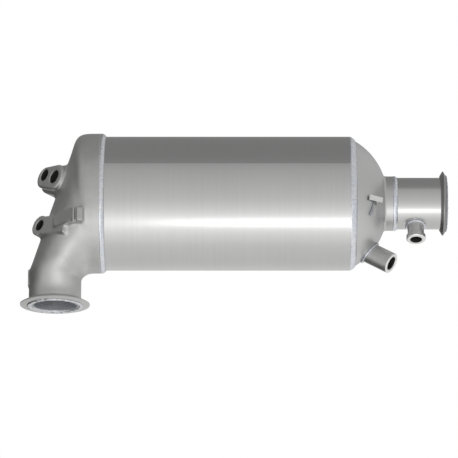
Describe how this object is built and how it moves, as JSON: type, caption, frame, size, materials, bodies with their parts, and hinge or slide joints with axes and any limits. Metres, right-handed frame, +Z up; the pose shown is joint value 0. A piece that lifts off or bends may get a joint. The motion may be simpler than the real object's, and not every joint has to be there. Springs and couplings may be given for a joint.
{
  "type": "diesel particulate filter",
  "caption": "Round exhaust filter canister with a cast side inlet elbow, sensor bosses, an outlet cone and V-band flanges.",
  "frame": {"origin": "centre of the inlet mouth, in the plane of the neck's end", "axes": "+Z up the inlet neck, +X along the canister towards the outlet, -Y the front side with the sensor bosses"},
  "size_m": [0.4935, 0.1639, 0.2051],
  "materials": {
    "cast_steel": "bead-blasted casting",
    "turned_steel": "turned",
    "sheet_steel": "satin rolled sheet",
    "weld_metal": "bright rippled weld",
    "ceramic": "matt cordierite or silicon carbide",
    "mat_fibre": "pressed fibre mat",
    "wire_mesh": "knitted wire"
  },
  "bodies": {
    "root": {"inlet_housing": "cast_steel", "inlet_flange": "turned_steel", "inlet_flange_weld": "weld_metal", "inlet_girth_weld": "weld_metal", "canister_shell": "sheet_steel", "shell_seam_weld": "weld_metal", "outlet_girth_weld": "weld_metal", "outlet_cone": "sheet_steel", "outlet_collar_weld": "weld_metal", "outlet_pipe": "sheet_steel", "outlet_flange": "turned_steel", "outlet_flange_weld": "weld_metal", "cone_sensor_boss": "turned_steel", "cone_sensor_boss_weld": "weld_metal", "pressure_port": "turned_steel", "pressure_port_weld": "weld_metal", "bracket_tab": "sheet_steel", "bracket_tab_weld": "weld_metal", "catalyst_monolith": "ceramic", "catalyst_mat": "mat_fibre", "catalyst_seal_rings": "wire_mesh", "filter_monolith": "ceramic", "filter_mat": "mat_fibre", "filter_seal_rings": "wire_mesh"}
  },
  "joints": []
}
